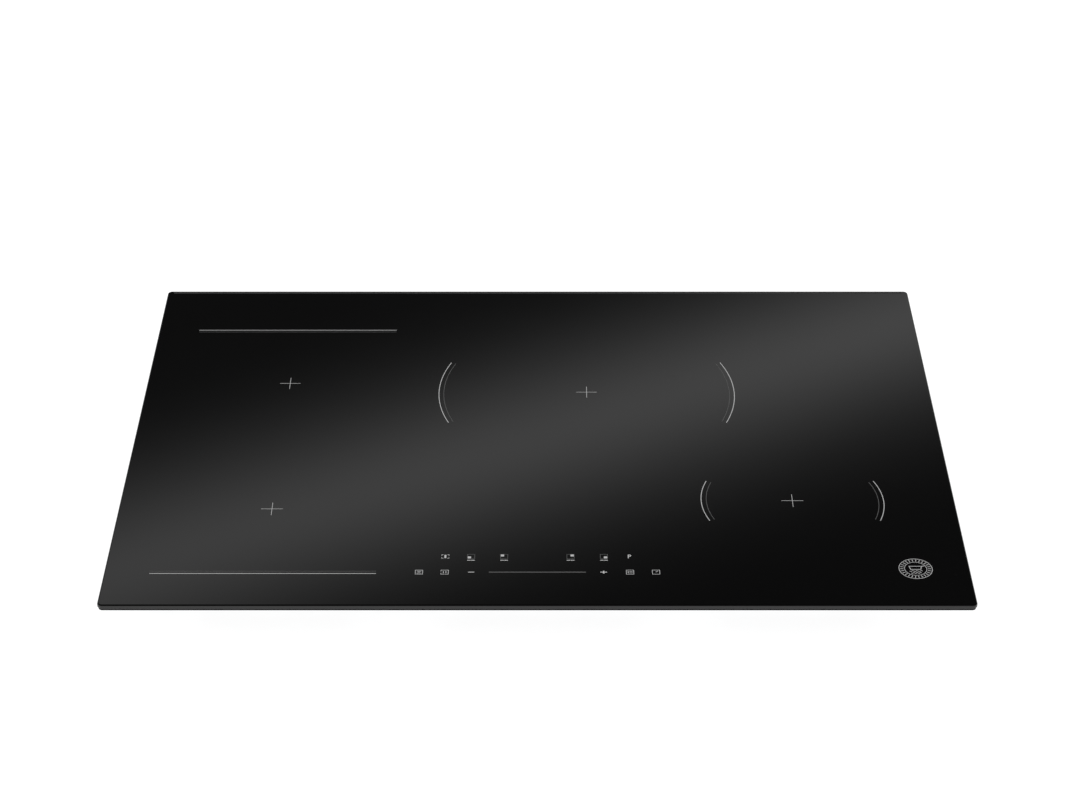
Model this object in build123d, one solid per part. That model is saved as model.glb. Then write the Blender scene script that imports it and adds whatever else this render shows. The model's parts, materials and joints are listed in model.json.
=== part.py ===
from build123d import *
import os
from math import cos, radians, sin

# Built-in induction cooktop, in millimetres.
# Origin: middle of the underside of the casing. Front is -Y, right is +X, up is +Z.

# Glass and overall height
HEIGHT = 54.0
GLASS_W, GLASS_D, GLASS_T = 750.0, 530.0, 4.0
GLASS_CORNER = 4.5
GLASS_TOP_ROUND, GLASS_UNDER_ROUND = 1.3, 0.8
GLASS_Z = HEIGHT - GLASS_T

# Sealing strip under the glass edge
SEAL_T, SEAL_BAND, SEAL_INSET = 2.0, 10.0, 1.0

# Sheet steel casing, which drops into a 720 x 490 worktop cut-out
CASING_W, CASING_D, CASING_TOP = 708.0, 480.0, 47.5
CASING_CORNER, SHEET = 6.0, 0.8
SLOPE_TOP, SLOPE_ANGLE, SLOPE_BLOCK = 33.0, 36.87, 100.0
BEAD_Z, BEAD_R, BEAD_HALF_X, BEAD_REAR_END, BEAD_HALF_Y = 11.0, 2.0, 330.0, 180.0, 105.0

# Air slots: rows in the sloping front, the rear wall and the side walls
LOUVRE_Z, LOUVRE_SLOT, LOUVRE_PITCH = (22.0, 34.0), 3.0, 7.0
FRONT_ROWS = ((-290.0, -164.0), (-84.0, 84.0), (164.0, 290.0))
FRONT_SLOT_Y = (-230.0, -206.0)
REAR_ROWS = ((-270.0, -130.0), (-70.0, 70.0))
SIDE_ROW = (-42.0, 42.0)

# Pressed frame under the glass, and the silicone between them
BOND_T, BOND_BAND, FRAME_T, FRAME_LIP = 0.8, 10.0, 0.8, 2.0
FRAME_BAND, FRAME_DROP, FRAME_GAP, NOTCH_GAP, NOTCH_SIDE = 15.0, 12.0, 0.1, 0.5, 3.0

# Screws through the casing wall into the frame
SCREW_Z, SCREW_R, SCREW_L, SCREW_HOLE_L = 41.0, 1.7, 7.0, 12.0
SCREW_HEAD_R, SCREW_HEAD_T, SCREW_HEAD_ROUND = 3.4, 2.2, 1.0
SCREW_RECESS_L, SCREW_RECESS_W, SCREW_RECESS_DEPTH = 4.2, 0.9, 1.0
SCREWS_X, SCREWS_Y = (-290.0, -100.0, 100.0, 320.0), (-60.0, 60.0)

# Worktop clamps: pivots, pocket and arm
CLAMP_X, CLAMP_Y = 345.0, 150.0
POCKET_DEPTH, POCKET_TOP, POCKET_BACK, POCKET_AHEAD = 18.0, 26.0, 9.0, 33.0
ARM_Z, ARM_T, ARM_REACH, ARM_W, ARM_EYE, ARM_LIP = 14.3, 2.0, 28.0, 10.0, 7.0, 3.0
ARM_RIB_W, ARM_RIB_H = 2.0, 1.0
CLAMP_SCREW_R, PIVOT_CLEARANCE = 2.45, 0.05
NUT_T, NUT_R, HEAD_T, HEAD_R = 4.0, 4.6, 3.0, 4.5

# Terminal box in the rear wall
BOX_X, BOX_Y, BOX_Z = (200.0, 296.0), (182.0, 240.0), (3.0, 41.0)
BOX_WALL, BOX_REAR = 2.0, 3.0
DOOR_X, DOOR_Z = (206.0, 262.0), (9.5, 37.0)
COVER_X, COVER_TOP, COVER_T, COVER_GAP = (202.0, 266.0), 39.5, 2.0, 0.3
PIN_Y, PIN_Z, PIN_R, KNUCKLE_R, EAR_L, EAR_GAP = 242.8, 6.2, 1.0, 2.5, 4.0, 0.4
LIP_X, LIP_H, LIP_REACH = (226.0, 242.0), 3.0, 2.5
GRIP_Z, GRIP_RIBS, GRIP_RIB_H, GRIP_RIB_T, GRIP_INSET = (15.0, 30.0), 4, 1.5, 0.6, 6.0
INLET_X, INLET_Z, INLET_R, BUSH_R, FLANGE_R = 281.0, 21.0, 7.5, 10.5, 12.5
BUSH_INSIDE, FLANGE_T, RING_NUT_T = 8.0, 2.5, 5.0

# Terminal block, its screws, links and leads
BLOCK_X, BLOCK_Y, BLOCK_Z, POLES = (208.0, 258.0), (196.0, 212.0), (7.0, 23.0), 5
WELL_W, WELL_BACK, WELL_FLOOR = 8.0, 6.0, 8.0
WIRE_HOLE_R, WIRE_HOLE_UP, HOLE_BACK = 2.2, 4.0, 2.0
POLE_SCREW_R, POLE_HEAD_R, POLE_HEAD_T, POLE_SCREW_UP = 1.6, 3.2, 2.0, 12.0
POLE_SLOT_L, POLE_SLOT_W, POLE_SLOT_DEPTH = 7.0, 0.8, 0.8
LINK_T, LINK_W, LINK_H, LINK_OVER, LINKED_POLES = 0.8, 6.0, 7.0, 1.0, ((0, 1), (3, 4))
LEAD_R, LEAD_HOLE, LEADS_X, LEADS_Z, LEADS_TURN_Y = 1.8, 2.2, (218.0, 248.0), 15.0, 150.0

# Coil stack, from the glass down
COIL_GAP, MICA_T, WIRE_ROOM, WIRE_R, WIRE_PITCH, WIRE_LIFT = 0.05, 1.0, 4.0, 1.75, 5.0, 0.2
FORMER_T, FERRITE_T, FERRITE_W, TRAY_T = 1.5, 4.0, 12.0, 1.5
MICA_Z = GLASS_Z - COIL_GAP - MICA_T
FORMER_Z = MICA_Z - WIRE_ROOM - FORMER_T
FERRITE_Z = FORMER_Z - FERRITE_T
TRAY_Z = FERRITE_Z - TRAY_T
SENSOR_R, SENSOR_HOLE, SENSOR_FOOT_R, SENSOR_FOOT_T, RIM = 5.0, 8.0, 7.0, 2.0, 2.0

# Zones, which the printed marks on the glass repeat
FLEX_X, FLEX_REAR_Y, FLEX_FRONT_Y = -237.5, 89.1, -121.6
FLEX_COIL_W, FLEX_COIL_D, FLEX_CORNER = 190.0, 196.0, 72.0
CENTRE_X, CENTRE_Y, CENTRE_R, CENTRE_SPLIT_R = 46.8, 73.4, 142.0, 77.0
RIGHT_X, RIGHT_Y, RIGHT_R = 229.1, -108.7, 83.0
COIL_HOLE_R, FERRITE_IN, FERRITE_OUT = 20.0, 4.0, 6.0
CENTRE_EARS, CENTRE_BARS = (30, 150, 270), range(0, 360, 40)
RIGHT_EARS, RIGHT_BARS = (0, 120, 240), range(0, 360, 60)
FLEX_BARS = range(0, 360, 60)
FLEX_MARGIN, FLEX_TRAY_CORNER, FLEX_FERRITES = 4.0, 6.0, (26.0, 88.0)

# Springs under the coil trays, on stepped posts
SPRING_R, SPRING_WIRE, SPRING_TURNS, SPRING_SEAT_Z, SPRING_GAP = 4.0, 0.45, 4.0, 22.0, 0.05
POST_R, GUIDE_R, GUIDE_TOP, GUIDE_HOLE, GUIDE_ROUND = 5.0, 2.0, 39.0, 2.6, 0.8
EAR_REACH, EAR_R = 6.0, 8.5

# Coil leads: the board end, then the coil end, of the first wire of each pair
FLEX_LEADS = (-190.0, 30.0, -170.0, 30.0)
CENTRE_LEADS = (70.0, 35.0, 40.0, 35.0)
RIGHT_LEADS = (160.0, -90.0, 190.0, -90.0)
COIL_LEAD_STEPS, COIL_LEAD_Z, COIL_LEAD_BEND = (0.0, 5.0), 33.0, 3.0
FLEX_POSTS = [(x, y) for x in (-328.0, -147.0) for y in (-215.0, 182.0)]

# Boards and what stands on them
BOARD_Z, BOARD_T = 8.0, 1.6
BOARD_W, BOARD_D, BOARD_Y = 110.0, 222.0, -61.0
BOARDS_X, BOARD_CORNER = (-238.0, 116.0), 2.0
FILTER_X, FILTER_Y = (215.0, 328.0), (20.0, 160.0)
FOOT_R, FOOT_INSET = 3.5, 5.0
SINK_W, SINK_D, SINK_H, SINK_BASE, FINS, FIN_GAP = 44.0, 200.0, 19.0, 4.0, 9, 3.2
DUCT_WALL, DUCT_W, DUCT_TOP, DUCT_AHEAD, DUCT_FAN_GAP = 1.5, 58.0, 32.0, 4.0, 56.0
DEVICE_W, DEVICE_T, DEVICE_H, DEVICES_Y = 16.0, 4.5, 18.0, (BOARD_Y - 70, BOARD_Y + 70)
CAP_W, CAP_D, CAP_H, CAP_CORNER = 14.0, 30.0, 18.0, 1.5
CAP_OFF_X, CAPS_Y = -42.0, (BOARD_Y - 85, BOARD_Y + 40)
FILTER_CAP_W, FILTER_CAP_D, FILTER_CAP_H = 18.0, 32.0, 20.0
FILTER_CAP_X, FILTER_CAPS_Y = 310.0, (60.0, 110.0)
CHOKE_X, CHOKES_Y, CHOKE_UP, CORE_R, CORE_SECTION_R = 255.0, (55.0, 110.0), 8.0, 15.0, 5.0
TURN_R, TURN_WIRE_R, TURN_STEP = 6.2, 1.0, 36

# Radial fans
FAN_Y, FAN_R, FAN_WALL, FAN_Z = 112.0, 48.0, 2.0, (1.0, 27.0)
FAN_OUTLET, FAN_OUTLET_W = 55.0, 58.0
IMPELLER_R, IMPELLER_LIP, IMPELLER_HUB_R, IMPELLER_T = 42.0, 1.0, 14.5, 1.5
IMPELLER_Z, CUP_Z, BOSS_Z, BOSS_R, RING_W = (4.0, 23.0), (11.5, 13.0), (8.5, 11.5), 4.0, 9.0
BLADES, BLADE_L, BLADE_T, BLADE_TURN, BLADE_IN = 26, 9.0, 1.2, 35.0, 4.0
SHAFT_R, SHAFT_CLEARANCE, SHAFT_Z, STATOR_R = 1.5, 0.05, (8.0, 14.0), 12.0
INTAKE_R, INTAKE_REACH, INTAKE_SLOTS = 33.0, 30.0, 11

# Touch controls
CONTROL_X, CONTROL_Y, CONTROL_Z = (-118.0, 118.0), (-224.5, -182.0), 39.5
KEY_ROWS_Y = (-196.5, -218.0)
SELECTOR_X = (-80.6, -58.1, -29.3, 28.8, 57.9, 80.1)
KEY_X = (-103.2, -80.7, -57.7, 57.3, 80.2, 102.7)
SLIDER_X = (-42.0, 42.0)
HOLDER_WALL, LEG_INSET, LEG_R = 1.5, 8.0, 3.5
PCB_T, PCB_Z, PCB_GAP = 1.6, 43.0, 1.0
PAD_R, KEY_PAD_BACK, SELECTOR_PAD_BACK, SLIDER_PAD_HALF = 2.2, 5.0, 7.0, 3.0
LIGHT_HALF_W, LIGHT_FRONT, KEY_LIGHT_BACK, SELECTOR_LIGHT_BACK, LIGHT_GAP = 4.0, 5.0, 2.0, 4.0, 0.5
RIBBON_X, RIBBON_Y, RIBBON_LOW, RIBBON_W, RIBBON_T, RIBBON_BEND = 80.0, -198.0, 20.0, 14.0, 1.0, 4.0
RIBBON_HOLE_HALF_W, RIBBON_HOLE_HALF_D = 10.0, 6.0


def block(x, y, z):
    """A box between two values along each axis."""
    spans = (x, y, z)
    middle = [(low + high) / 2 for low, high in spans]
    size = [high - low for low, high in spans]
    return Pos(*middle) * Box(*size)


def drum(x, y, z, r):
    """An upright cylinder at (x, y) between two heights."""
    return Pos(x, y, (z[0] + z[1]) / 2) * Cylinder(r, z[1] - z[0])


def rod(x, y, z, r):
    """A cylinder along Y, from y[0] to y[1]."""
    return Pos(x, (y[0] + y[1]) / 2, z) * Rot(90, 0, 0) * Cylinder(r, y[1] - y[0])


def bar(x, y, z, r):
    """A cylinder along X, from x[0] to x[1]."""
    return Pos((x[0] + x[1]) / 2, y, z) * Rot(0, 90, 0) * Cylinder(r, x[1] - x[0])


def hexagon(x, y, z, r):
    """An upright six-sided prism at (x, y) between two heights."""
    return extrude(Pos(x, y, z[0]) * RegularPolygon(r, 6), z[1] - z[0])


def plate(width, depth, z, corner, at=(0.0, 0.0)):
    """A level plate with rounded corners."""
    return extrude(Pos(at[0], at[1], z[0]) * RectangleRounded(width, depth, corner), z[1] - z[0])


def slots(xs, y, z):
    """Parallel slots across Y, one at each x."""
    return [block((x - LOUVRE_SLOT / 2, x + LOUVRE_SLOT / 2), y, z) for x in xs]


def spread(count, low, high):
    """Evenly spaced values, the first at low and the last at high."""
    return [low + (high - low) * i / (count - 1) for i in range(count)]


def around(x, y, reach, angles):
    """Points at one distance from (x, y), at each angle in degrees."""
    return [(x + reach * cos(radians(a)), y + reach * sin(radians(a))) for a in angles]


def save(name, *shapes):
    """Write one node, in which every solid stays separate."""
    solids = [solid for shape in shapes for solid in shape.solids()]
    export_step(Compound(solids), f"parts/{name}.step")


# Glass, seal, bond and frame


def glass_top():
    glass = plate(GLASS_W, GLASS_D, (GLASS_Z, HEIGHT), GLASS_CORNER)
    glass = fillet(glass.faces().sort_by(Axis.Z)[-1].edges(), GLASS_TOP_ROUND)
    return fillet(glass.faces().sort_by(Axis.Z)[0].edges(), GLASS_UNDER_ROUND)


def seal_strips():
    """Four lengths of foam tape that butt at the corners, which are rounded like the glass."""
    half_w, half_d = GLASS_W / 2 - SEAL_INSET, GLASS_D / 2 - SEAL_INSET
    z = (GLASS_Z - SEAL_T, GLASS_Z)
    outline = plate(2 * half_w, 2 * half_d, z, GLASS_CORNER - SEAL_INSET)
    strips = []
    for side in (-1, 1):
        y = sorted((side * (half_d - SEAL_BAND), side * half_d))
        x = sorted((side * (half_w - SEAL_BAND), side * half_w))
        strips.append(block((-half_w, half_w), y, z) & outline)
        strips.append(block(x, (-half_d + SEAL_BAND, half_d - SEAL_BAND), z))
    return strips


def glass_bond():
    """The bead of silicone between frame and glass."""
    z = (GLASS_Z - BOND_T, GLASS_Z)
    outer = plate(CASING_W, CASING_D, z, CASING_CORNER)
    return outer - plate(CASING_W - 2 * BOND_BAND, CASING_D - 2 * BOND_BAND, z, CASING_CORNER)


def glass_frame():
    """A pressed frame of L section: a shelf under the glass and a skirt inside the casing wall."""
    top = GLASS_Z - BOND_T
    inside = 2 * (SHEET + FRAME_GAP)
    skirt_w, skirt_d = CASING_W - inside, CASING_D - inside
    shelf = plate(CASING_W + 2 * FRAME_LIP, CASING_D + 2 * FRAME_LIP, (top - FRAME_T, top), CASING_CORNER)
    shelf += plate(skirt_w, skirt_d, (top - FRAME_DROP, top), CASING_CORNER - SHEET)
    opening = (top - FRAME_DROP - 1, top - FRAME_T)
    shelf -= plate(skirt_w - 2 * FRAME_T, skirt_d - 2 * FRAME_T, opening, CASING_CORNER - 2 * SHEET)
    window = (top - FRAME_DROP - 1, top + 1)
    shelf -= plate(CASING_W - 2 * FRAME_BAND, CASING_D - 2 * FRAME_BAND, window, CASING_CORNER)
    notch = (BOX_X[0] - NOTCH_SIDE, BOX_X[1] + NOTCH_SIDE)
    shelf -= block(notch, (CASING_D / 2 - FRAME_BAND, CASING_D / 2), (0, BOX_Z[1] + SHEET + NOTCH_GAP))
    return shelf - casing_screw_holes()


# Casing


def casing_screw_places():
    """Each side screw as (x, y, turn about Z), its head outwards."""
    places = []
    for x in SCREWS_X:
        places += [(x, -CASING_D / 2, 0.0), (x, CASING_D / 2, 180.0)]
    for y in SCREWS_Y:
        places += [(-CASING_W / 2, y, -90.0), (CASING_W / 2, y, 90.0)]
    return places


def casing_screw_holes():
    hole = Rot(90, 0, 0) * Cylinder(SCREW_R, SCREW_HOLE_L)
    return [Pos(x, y, SCREW_Z) * Rot(0, 0, turn) * hole for x, y, turn in casing_screw_places()]


def casing_screws():
    """Pan-head sheet screws with a cross recess."""
    head = rod(0, (-SCREW_HEAD_T, 0), 0, SCREW_HEAD_R)
    head = fillet(head.edges().sort_by(Axis.Y)[0], SCREW_HEAD_ROUND)
    recess = Box(SCREW_RECESS_L, 2 * SCREW_RECESS_DEPTH, SCREW_RECESS_W)
    for turn in (0, 90):
        head -= Pos(0, -SCREW_HEAD_T, 0) * Rot(0, turn, 0) * recess
    screw = head + rod(0, (0, SCREW_L), 0, SCREW_R)
    return [Pos(x, y, SCREW_Z) * Rot(0, 0, turn) * screw for x, y, turn in casing_screw_places()]


def clamp_places():
    """Each clamp as (name, x, y, side, way): side points outwards, way along the stowed arm."""
    return [
        ("front_left", -CLAMP_X, -CLAMP_Y, -1, 1),
        ("front_right", CLAMP_X, -CLAMP_Y, 1, 1),
        ("rear_left", -CLAMP_X, CLAMP_Y, -1, -1),
        ("rear_right", CLAMP_X, CLAMP_Y, 1, -1),
    ]


def pockets(grow):
    """The recesses in the casing for the clamps and the terminal box, grown inwards by one sheet."""
    cuts = []
    for _, x, y, side, way in clamp_places():
        inner = side * (CASING_W / 2 - POCKET_DEPTH - grow)
        outer = side * (CASING_W / 2 + 1)
        along = sorted((y - way * (POCKET_BACK + grow), y + way * (POCKET_AHEAD + grow)))
        cuts.append(block(sorted((inner, outer)), along, (-1, POCKET_TOP + grow)))
    x = (BOX_X[0] - grow, BOX_X[1] + grow)
    z = (BOX_Z[0] - grow, BOX_Z[1] + grow)
    cuts.append(block(x, (BOX_Y[0] - grow, BOX_Y[1] + 1), z))
    return cuts


def front_slope(grow):
    """All that lies below the sloping front of the casing, grown inwards."""
    top = Pos(0, -CASING_D / 2, SLOPE_TOP) * Rot(-SLOPE_ANGLE, 0, 0)
    return top * Pos(0, 0, grow - SLOPE_BLOCK / 2) * Box(CASING_W + BEAD_R, 3 * SLOPE_BLOCK, SLOPE_BLOCK)


def wall_bead(grow):
    """A half-round bead pressed outwards along the rear and side walls, clear of the pockets."""
    r = BEAD_R + grow
    x, y = CASING_W / 2 - SHEET, CASING_D / 2 - SHEET
    rear = bar((-BEAD_HALF_X, BEAD_REAR_END), y, BEAD_Z, r)
    return [rear] + [rod(side * x, (-BEAD_HALF_Y, BEAD_HALF_Y), BEAD_Z, r) for side in (-1, 1)]


def row(ends):
    """Where the slots of one row are."""
    low, high = ends
    return spread(round((high - low) / LOUVRE_PITCH) + 1, low, high)


def wall_louvres():
    """Rows of air slots through the sloping front, the rear wall and the side walls."""
    cuts, half, through = [], LOUVRE_SLOT / 2, 3 * SHEET
    for ends in FRONT_ROWS:
        cuts += slots(row(ends), FRONT_SLOT_Y, (2 * SHEET, SLOPE_TOP))
    for ends in REAR_ROWS:
        cuts += slots(row(ends), (CASING_D / 2 - through, CASING_D / 2 + through), LOUVRE_Z)
    for side in (-1, 1):
        x = (side * CASING_W / 2 - through, side * CASING_W / 2 + through)
        cuts += [block(x, (y - half, y + half), LOUVRE_Z) for y in row(SIDE_ROW)]
    return cuts


def intake_slots():
    """Air inlets in the floor under each fan, the length of each a chord of the intake."""
    cuts = []
    for fan_x in BOARDS_X:
        for x in spread(INTAKE_SLOTS, -INTAKE_REACH, INTAKE_REACH):
            chord = (INTAKE_R**2 - x**2) ** 0.5
            cuts += slots([fan_x + x], (FAN_Y - chord, FAN_Y + chord), (-SHEET, 2 * SHEET))
    return cuts


def base_casing():
    """One folded tray with a sloping front. The pockets are walls of the same sheet."""
    outer = plate(CASING_W, CASING_D, (0, CASING_TOP), CASING_CORNER) + wall_bead(0.0)
    outer -= pockets(0.0) + [front_slope(0.0)]
    inside = (SHEET, CASING_TOP + 1)
    inner = plate(CASING_W - 2 * SHEET, CASING_D - 2 * SHEET, inside, CASING_CORNER - SHEET)
    inner = inner + wall_bead(-SHEET) - pockets(SHEET) - front_slope(SHEET)
    tray = outer - inner
    tray -= wall_louvres() + intake_slots() + casing_screw_holes() + lead_holes()
    z = (POCKET_TOP - SHEET, POCKET_TOP + 2 * SHEET)
    return tray - [drum(x, y, z, CLAMP_SCREW_R) for _, x, y, _, _ in clamp_places()]


# Worktop clamps


def clamp_arm(x, y, side, way):
    """A steel arm with an eye on its screw and a lip that bears on the underside of the worktop."""
    z = (ARM_Z, ARM_Z + ARM_T)
    tip = y + way * ARM_REACH
    arm = drum(x, y, z, ARM_EYE)
    arm += block((x - ARM_W / 2, x + ARM_W / 2), sorted((y, tip)), z)
    lip_z = (ARM_Z, ARM_Z + ARM_T + ARM_LIP)
    arm += block((x - ARM_W / 2, x + ARM_W / 2), sorted((tip - way * ARM_T, tip)), lip_z)
    rib_x = (x - ARM_RIB_W / 2, x + ARM_RIB_W / 2)
    rib = block(rib_x, sorted((y + way * ARM_EYE, tip)), (ARM_Z + ARM_T, ARM_Z + ARM_T + ARM_RIB_H))
    return arm + rib - drum(x, y, (ARM_Z - 1, ARM_Z + ARM_T + 1), CLAMP_SCREW_R + PIVOT_CLEARANCE)


def clamp_screw(x, y):
    """A hexagon-head screw that hangs through the pocket and carries the arm on its head."""
    top = ARM_Z - COVER_GAP
    screw = hexagon(x, y, (top - HEAD_T, top), HEAD_R)
    return screw + drum(x, y, (top, POCKET_TOP + SHEET + NUT_T + 1), CLAMP_SCREW_R)


def clamp_nut(x, y):
    z = (POCKET_TOP + SHEET, POCKET_TOP + SHEET + NUT_T)
    return hexagon(x, y, z, NUT_R) - drum(x, y, z, CLAMP_SCREW_R)


# Terminal box


def lead_places():
    """X and height of the three leads that leave the terminal block forwards."""
    return [(x, LEADS_Z) for x in spread(3, *LEADS_X)]


def lead_holes():
    """Holes through the box wall and the casing behind it."""
    y = (BOX_Y[0] - 3 * SHEET, BOX_Y[0] + 2 * BOX_WALL)
    return [rod(x, y, z, LEAD_HOLE) for x, z in lead_places()]


def terminal_box():
    """A moulded tray on its side, open to the rear."""
    rear = BOX_Y[1] - BOX_REAR
    box = block(BOX_X, (BOX_Y[0], rear), BOX_Z)
    x, z = [(low + BOX_WALL, high - BOX_WALL) for low, high in (BOX_X, BOX_Z)]
    return box - block(x, (BOX_Y[0] + BOX_WALL, rear + 1), z) - lead_holes()


def terminal_face():
    """The rear wall of the box, with its door, the hole for the inlet and two ears for the pin."""
    rear = BOX_Y[1] - BOX_REAR
    face = block(BOX_X, (rear, BOX_Y[1]), BOX_Z)
    through = (rear - 1, BOX_Y[1] + 1)
    face -= block(DOOR_X, through, DOOR_Z)
    face -= rod(INLET_X, through, INLET_Z, BUSH_R)
    for low in (COVER_X[0], COVER_X[1] - EAR_L):
        ear = (low, low + EAR_L)
        face += block(ear, (rear, PIN_Y), (PIN_Z - KNUCKLE_R, PIN_Z + KNUCKLE_R))
        face += bar(ear, PIN_Y, PIN_Z, KNUCKLE_R)
    return face - bar(COVER_X, PIN_Y, PIN_Z, PIN_R)


def terminal_cover():
    """A hinged lid with a knuckle below, a ribbed face and a finger lip above."""
    x = (COVER_X[0] + EAR_L + EAR_GAP, COVER_X[1] - EAR_L - EAR_GAP)
    back = BOX_Y[1] + COVER_GAP
    face = back + COVER_T
    cover = block(x, (back, face), (PIN_Z, COVER_TOP)) + bar(x, PIN_Y, PIN_Z, KNUCKLE_R)
    cover += block(LIP_X, (face, face + LIP_REACH), (COVER_TOP - LIP_H, COVER_TOP))
    for z in spread(GRIP_RIBS, *GRIP_Z):
        cover += block((x[0] + GRIP_INSET, x[1] - GRIP_INSET), (face, face + GRIP_RIB_T), (z, z + GRIP_RIB_H))
    return cover - bar(COVER_X, PIN_Y, PIN_Z, PIN_R + PIVOT_CLEARANCE)


def pole_places():
    width = (BLOCK_X[1] - BLOCK_X[0]) / POLES
    return [BLOCK_X[0] + width * (i + 0.5) for i in range(POLES)]


def terminal_block():
    """Five poles between raised barriers, each with a wire hole and a screw well."""
    body = block(BLOCK_X, BLOCK_Y, BLOCK_Z)
    back, front = BLOCK_Y[0] + HOLE_BACK, BLOCK_Y[1] + 1
    for x in pole_places():
        well = (x - WELL_W / 2, x + WELL_W / 2)
        body -= block(well, (BLOCK_Y[0] + WELL_BACK, front), (BLOCK_Z[0] + WELL_FLOOR, BLOCK_Z[1] + 1))
        body -= rod(x, (back, front), BLOCK_Z[0] + WIRE_HOLE_UP, WIRE_HOLE_R)
        body -= rod(x, (back, front), BLOCK_Z[0] + POLE_SCREW_UP, POLE_SCREW_R)
    return body


def terminal_screws():
    """A slotted screw in each well, its head on the link."""
    z, seat = BLOCK_Z[0] + POLE_SCREW_UP, BLOCK_Y[0] + WELL_BACK + LINK_T
    head = (seat, seat + POLE_HEAD_T)
    screws = []
    for x in pole_places():
        screw = rod(x, head, z, POLE_HEAD_R) + rod(x, (BLOCK_Y[0] + HOLE_BACK, seat), z, POLE_SCREW_R)
        slot = Box(POLE_SLOT_L, 2 * POLE_SLOT_DEPTH, POLE_SLOT_W)
        screws.append(screw - Pos(x, head[1], z) * slot)
    return screws


def terminal_links():
    """Two brass straps under the screw heads, each joining a pair of poles over their barrier."""
    poles, half = pole_places(), LINK_W / 2
    y = (BLOCK_Y[0] + WELL_BACK, BLOCK_Y[0] + WELL_BACK + LINK_T)
    screw_z = BLOCK_Z[0] + POLE_SCREW_UP
    over = (BLOCK_Z[1], BLOCK_Z[1] + LINK_OVER)
    links = []
    for pair in LINKED_POLES:
        first, second = [poles[i] for i in pair]
        strap = block((first - half, second + half), y, over)
        for pole in (first, second):
            strap += block((pole - half, pole + half), y, (screw_z - LINK_H / 2, over[1]))
            strap -= rod(pole, (y[0] - 1, y[1] + 1), screw_z, POLE_SCREW_R)
        links.append(strap)
    return links


def cable_inlet():
    """A moulded bush with a flange outside and a ring nut inside the box wall."""
    inner = BOX_Y[1] - BOX_REAR
    bush = rod(INLET_X, (inner - BUSH_INSIDE, BOX_Y[1]), INLET_Z, BUSH_R)
    bush += rod(INLET_X, (BOX_Y[1], BOX_Y[1] + FLANGE_T), INLET_Z, FLANGE_R)
    bush += rod(INLET_X, (inner - RING_NUT_T, inner), INLET_Z, FLANGE_R)
    return bush - rod(INLET_X, (inner - BUSH_INSIDE - 1, BOX_Y[1] + FLANGE_T + 1), INLET_Z, INLET_R)


def lead(points, bend):
    """A round wire along straight runs joined by tangent arcs."""
    path = FilletPolyline(*points, radius=bend)
    return sweep(Plane(origin=path @ 0, z_dir=path % 0) * Circle(LEAD_R), path=path)


def mains_leads():
    """From the block, forwards through the box wall and down to the filter board."""
    top = BOARD_Z + BOARD_T
    wires = []
    for x, z in lead_places():
        wires.append(lead([(x, BLOCK_Y[0], z), (x, LEADS_TURN_Y, z), (x, LEADS_TURN_Y, top)], 2 * LEAD_R))
    return wires


# Coil zones


def spiral(core_w, core_d, r_in, turns):
    """
    A flat spiral round a rectangle, or round a point when both core sizes are 0.
    Quarter arcs, each a quarter of the pitch larger than the last, have centres that step
    round the corners of the core, and straight runs join them where the core has sides.
    """
    step = WIRE_PITCH / 4
    centre = Vector(core_w / 2, core_d / 2)
    runs = []
    for quarter in range(round(4 * turns)):
        start = 90 * (quarter % 4)
        arc = CenterArc(centre, r_in + step * quarter, start, 90)
        out = Vector(1, 0).rotate(Axis.Z, start + 90)
        along = Vector(1, 0).rotate(Axis.Z, start + 180)
        side = core_d if quarter % 2 else core_w
        runs.append(arc)
        if side:
            runs.append(Line(arc @ 1, arc @ 1 + along * side))
        centre = centre + along * side - out * step
    return Wire(runs)


def winding(x, y, core_w, core_d, r_in, r_out):
    """Litz wire wound on the former, from the inner radius to the outer one."""
    turns = (r_out - r_in - 2 * WIRE_R) // WIRE_PITCH
    path = spiral(core_w, core_d, r_in + WIRE_R, turns)
    wire = sweep(Plane(origin=path @ 0, z_dir=path % 0) * Circle(WIRE_R), path=path)
    return Pos(x, y, FORMER_Z + FORMER_T + WIRE_R + WIRE_LIFT) * wire


def ferrite_bars(x, y, angles, r_in, r_out):
    """Radial bars under the winding that turn its field up to the pan."""
    middle = (r_in + r_out) / 2
    bars = []
    for angle in angles:
        flat = Pos(middle, 0, FERRITE_Z + FERRITE_T / 2) * Box(r_out - r_in, FERRITE_W, FERRITE_T)
        bars.append(Pos(x, y, 0) * Rot(0, 0, angle) * flat)
    return bars


def round_former(x, y, r, rims):
    """A disc with a rim at each radius in rims, open in the middle for the sensor."""
    disc = drum(x, y, (FORMER_Z, FORMER_Z + FORMER_T), r)
    for rim in rims:
        wall = (FORMER_Z, MICA_Z)
        disc += drum(x, y, wall, rim) - drum(x, y, wall, rim - RIM)
    return disc - drum(x, y, (FORMER_Z - 1, MICA_Z + 1), SENSOR_HOLE)


def round_tray(x, y, r, ears):
    """An aluminium disc with an ear for each spring."""
    z = (TRAY_Z, TRAY_Z + TRAY_T)
    tray = drum(x, y, z, r)
    for ear_x, ear_y in ears:
        tray += drum(ear_x, ear_y, z, EAR_R)
    holes = [drum(ear_x, ear_y, (TRAY_Z - 1, TRAY_Z + TRAY_T + 1), GUIDE_HOLE) for ear_x, ear_y in ears]
    return tray - holes


def sensor(x, y):
    """A capped temperature sensor on a foot, pressed against the glass."""
    low = TRAY_Z + TRAY_T
    foot = drum(x, y, (low, low + SENSOR_FOOT_T), SENSOR_FOOT_R)
    return foot + drum(x, y, (low, GLASS_Z - COIL_GAP), SENSOR_R)


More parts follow.
